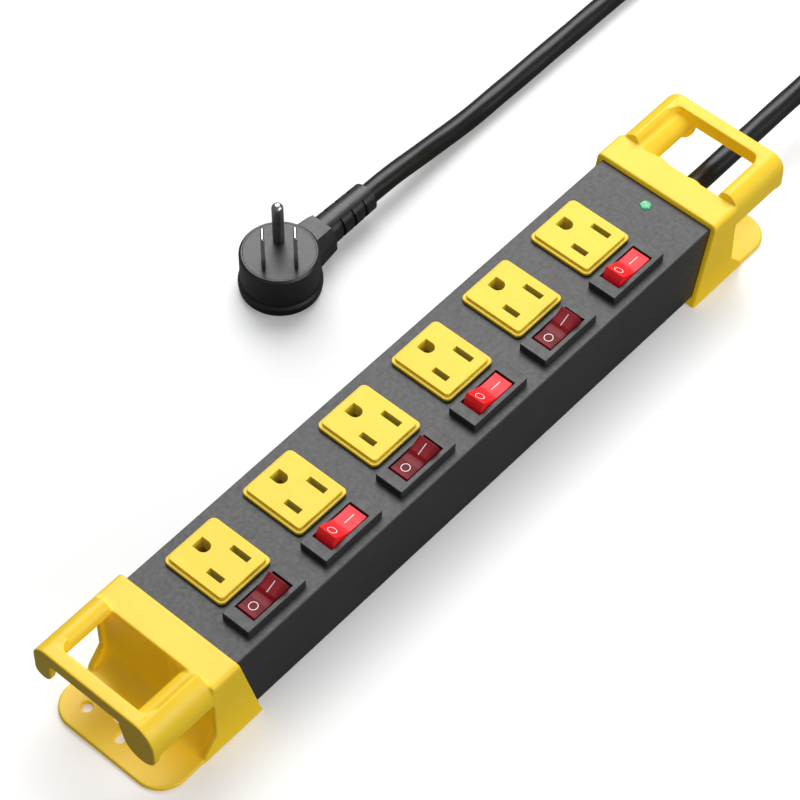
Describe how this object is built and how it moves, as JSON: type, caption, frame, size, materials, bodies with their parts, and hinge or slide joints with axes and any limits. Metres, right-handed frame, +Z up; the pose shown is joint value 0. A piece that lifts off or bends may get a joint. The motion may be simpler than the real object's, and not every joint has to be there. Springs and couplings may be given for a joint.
{
  "type": "power strip",
  "caption": "Heavy-duty power strip: sheet-metal housing, grounded outlets each with a lighted rocker switch, moulded end caps with handles and mounting flanges, cord and flat plug.",
  "frame": {"origin": "midway between the two hanging slots, on the underside of the mounting flanges", "axes": "+X along the strip towards the cord end, +Y across it towards the earth holes, +Z up out of the outlet faces; the flange underside is Z = 0"},
  "size_m": [0.5403, 0.1459, 0.0451],
  "materials": {
    "yellow_moulding": "fine satin texture",
    "yellow_outlet": "smooth satin moulding",
    "dark_enamel": "baked satin enamel on sheet steel",
    "zinc_steel": "bright zinc plate",
    "black_moulding": "satin moulded",
    "red_translucent": "translucent gloss, lit from inside",
    "natural_nylon": "natural nylon",
    "contact_brass": "stamped, slightly tarnished",
    "lug_tin": "tin plated",
    "lamp_glass": "clear with neon glow",
    "lead_black": "PVC insulation",
    "lead_white": "PVC insulation",
    "lead_green": "PVC insulation",
    "board_laminate": "glass-epoxy laminate",
    "varistor_coating": "dipped epoxy coating",
    "fuse_coating": "ceramic-coloured sleeve",
    "resistor_coating": "lacquered",
    "green_lens": "translucent gloss, lit",
    "led_epoxy": "diffused epoxy",
    "cord_jacket": "satin PVC jacket",
    "plug_moulding": "satin PVC moulding",
    "nickel_brass": "nickel plated"
  },
  "bodies": {
    "strip": {"housing_shell": "dark_enamel", "base_plate": "dark_enamel", "case_screws": "zinc_steel", "end_cap_cord": "yellow_moulding", "end_cap_plain": "yellow_moulding", "outlet_1": "yellow_outlet", "outlet_2": "yellow_outlet", "outlet_3": "yellow_outlet", "outlet_4": "yellow_outlet", "outlet_5": "yellow_outlet", "outlet_6": "yellow_outlet", "earth_bus": "contact_brass", "neutral_bus": "contact_brass", "live_clips": "contact_brass", "contact_carrier": "natural_nylon", "switch_body_1": "black_moulding", "switch_body_2": "black_moulding", "switch_body_3": "black_moulding", "switch_body_4": "black_moulding", "switch_body_5": "black_moulding", "switch_body_6": "black_moulding", "switch_terminals": "contact_brass", "live_bus": "contact_brass", "switch_lamps": "lamp_glass", "hookup_leads": "lead_black", "live_lead": "lead_black", "neutral_lead": "lead_white", "earth_lead": "lead_green", "bonding_lug": "lug_tin", "surge_board": "board_laminate", "board_posts": "natural_nylon", "varistors": "varistor_coating", "thermal_fuse": "fuse_coating", "lamp_resistor": "resistor_coating", "status_led": "led_epoxy", "status_lens": "green_lens", "power_cord": "cord_jacket", "cord_bushing": "black_moulding", "plug_body": "plug_moulding", "blade_bridge": "plug_moulding", "plug_blades": "nickel_brass", "plug_earth_pin": "nickel_brass"},
    "switch_1": {"rocker_1": "red_translucent", "plunger_1": "natural_nylon"},
    "contact_1": {"contact_lever_1": "contact_brass"},
    "switch_2": {"rocker_2": "red_translucent", "plunger_2": "natural_nylon"},
    "contact_2": {"contact_lever_2": "contact_brass"},
    "switch_3": {"rocker_3": "red_translucent", "plunger_3": "natural_nylon"},
    "contact_3": {"contact_lever_3": "contact_brass"},
    "switch_4": {"rocker_4": "red_translucent", "plunger_4": "natural_nylon"},
    "contact_4": {"contact_lever_4": "contact_brass"},
    "switch_5": {"rocker_5": "red_translucent", "plunger_5": "natural_nylon"},
    "contact_5": {"contact_lever_5": "contact_brass"},
    "switch_6": {"rocker_6": "red_translucent", "plunger_6": "natural_nylon"},
    "contact_6": {"contact_lever_6": "contact_brass"}
  },
  "joints": [
    {"name": "switch_1_rock", "type": "hinge", "parent": "strip", "child": "switch_1", "pos_m": [-0.1068, -0.0162, 0.0388], "axis": [0, 1, 0], "range_deg": [0, 26]},
    {"name": "contact_1_tilt", "type": "hinge", "parent": "strip", "child": "contact_1", "pos_m": [-0.1068, -0.0164, 0.0316], "axis": [0, 1, 0], "range_deg": [-14, 0]},
    {"name": "switch_2_rock", "type": "hinge", "parent": "strip", "child": "switch_2", "pos_m": [-0.0666, -0.0162, 0.0388], "axis": [0, 1, 0], "range_deg": [-26, 0]},
    {"name": "contact_2_tilt", "type": "hinge", "parent": "strip", "child": "contact_2", "pos_m": [-0.0666, -0.0164, 0.0316], "axis": [0, 1, 0], "range_deg": [0, 14]},
    {"name": "switch_3_rock", "type": "hinge", "parent": "strip", "child": "switch_3", "pos_m": [-0.0264, -0.0162, 0.0388], "axis": [0, 1, 0], "range_deg": [0, 26]},
    {"name": "contact_3_tilt", "type": "hinge", "parent": "strip", "child": "contact_3", "pos_m": [-0.0264, -0.0164, 0.0316], "axis": [0, 1, 0], "range_deg": [-14, 0]},
    {"name": "switch_4_rock", "type": "hinge", "parent": "strip", "child": "switch_4", "pos_m": [0.0138, -0.0162, 0.0388], "axis": [0, 1, 0], "range_deg": [-26, 0]},
    {"name": "contact_4_tilt", "type": "hinge", "parent": "strip", "child": "contact_4", "pos_m": [0.0138, -0.0164, 0.0316], "axis": [0, 1, 0], "range_deg": [0, 14]},
    {"name": "switch_5_rock", "type": "hinge", "parent": "strip", "child": "switch_5", "pos_m": [0.054, -0.0162, 0.0388], "axis": [0, 1, 0], "range_deg": [0, 26]},
    {"name": "contact_5_tilt", "type": "hinge", "parent": "strip", "child": "contact_5", "pos_m": [0.054, -0.0164, 0.0316], "axis": [0, 1, 0], "range_deg": [-14, 0]},
    {"name": "switch_6_rock", "type": "hinge", "parent": "strip", "child": "switch_6", "pos_m": [0.0942, -0.0162, 0.0388], "axis": [0, 1, 0], "range_deg": [-26, 0]},
    {"name": "contact_6_tilt", "type": "hinge", "parent": "strip", "child": "contact_6", "pos_m": [0.0942, -0.0164, 0.0316], "axis": [0, 1, 0], "range_deg": [0, 14]}
  ],
  "couplings": [
    {"joint": "contact_1_tilt", "follows": "switch_1_rock", "ratio": -0.538},
    {"joint": "contact_2_tilt", "follows": "switch_2_rock", "ratio": -0.538},
    {"joint": "contact_3_tilt", "follows": "switch_3_rock", "ratio": -0.538},
    {"joint": "contact_4_tilt", "follows": "switch_4_rock", "ratio": -0.538},
    {"joint": "contact_5_tilt", "follows": "switch_5_rock", "ratio": -0.538},
    {"joint": "contact_6_tilt", "follows": "switch_6_rock", "ratio": -0.538}
  ]
}
